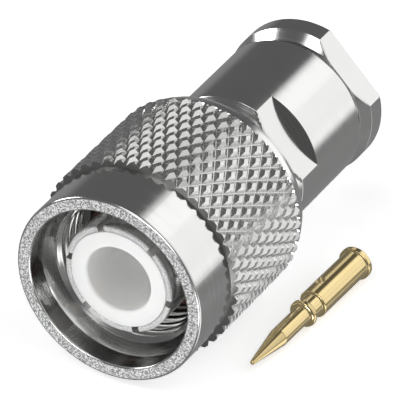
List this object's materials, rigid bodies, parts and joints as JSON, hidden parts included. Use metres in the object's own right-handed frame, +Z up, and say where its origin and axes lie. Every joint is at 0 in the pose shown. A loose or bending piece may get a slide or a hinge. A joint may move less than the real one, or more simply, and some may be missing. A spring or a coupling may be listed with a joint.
{
  "type": "tnc plug",
  "caption": "Threaded coaxial cable plug of the clamp type, with a diamond-knurled coupling nut, slotted outer contact, white insulator and a loose gold centre pin.",
  "frame": {"origin": "on the plug's axis, in the plane where the outer contact fingers and the front insulator end", "axes": "+Y along the plug's axis towards the cable end, +Z up, the plug lying on its side; +X is the side where the loose pin lies"},
  "size_m": [0.0174, 0.0282, 0.015],
  "materials": {
    "nickel_plated_brass": "turned brass with bright nickel plating",
    "phosphor_bronze": "spring bronze, plain",
    "gold_plated_brass": "turned brass with thin gold plating",
    "dielectric": "white machined fluoropolymer, waxy",
    "gasket_rubber": "moulded silicone rubber"
  },
  "bodies": {
    "shell": {"plug_body": "nickel_plated_brass", "front_insulator": "dielectric", "rear_insulator": "dielectric", "coupling_gasket": "gasket_rubber", "braid_clamp": "nickel_plated_brass", "cable_gasket": "gasket_rubber", "contact_pin": "gold_plated_brass"},
    "ring": {"retaining_ring": "phosphor_bronze"},
    "coupling": {"coupling_nut": "nickel_plated_brass"},
    "washer": {"thrust_washer": "nickel_plated_brass"},
    "clamp": {"clamp_nut": "nickel_plated_brass"}
  },
  "joints": [
    {"name": "coupling_float", "type": "slide", "parent": "shell", "child": "ring", "axis": [0, 1, 0], "range_m": [0, 0.0004]},
    {"name": "coupling_spin", "type": "hinge", "parent": "ring", "child": "coupling", "pos_m": [0, 0.0095, 0], "axis": [0, 1, 0], "continuous": true},
    {"name": "clamp_advance", "type": "slide", "parent": "shell", "child": "washer", "axis": [0, 1, 0], "range_m": [0, 0.00198]},
    {"name": "clamp_turn", "type": "hinge", "parent": "washer", "child": "clamp", "pos_m": [0, 0.0225, 0], "axis": [0, 1, 0], "range_deg": [0, 900]}
  ],
  "couplings": [
    {"joint": "clamp_turn", "follows": "clamp_advance", "rad_per_m": 7913.3}
  ]
}
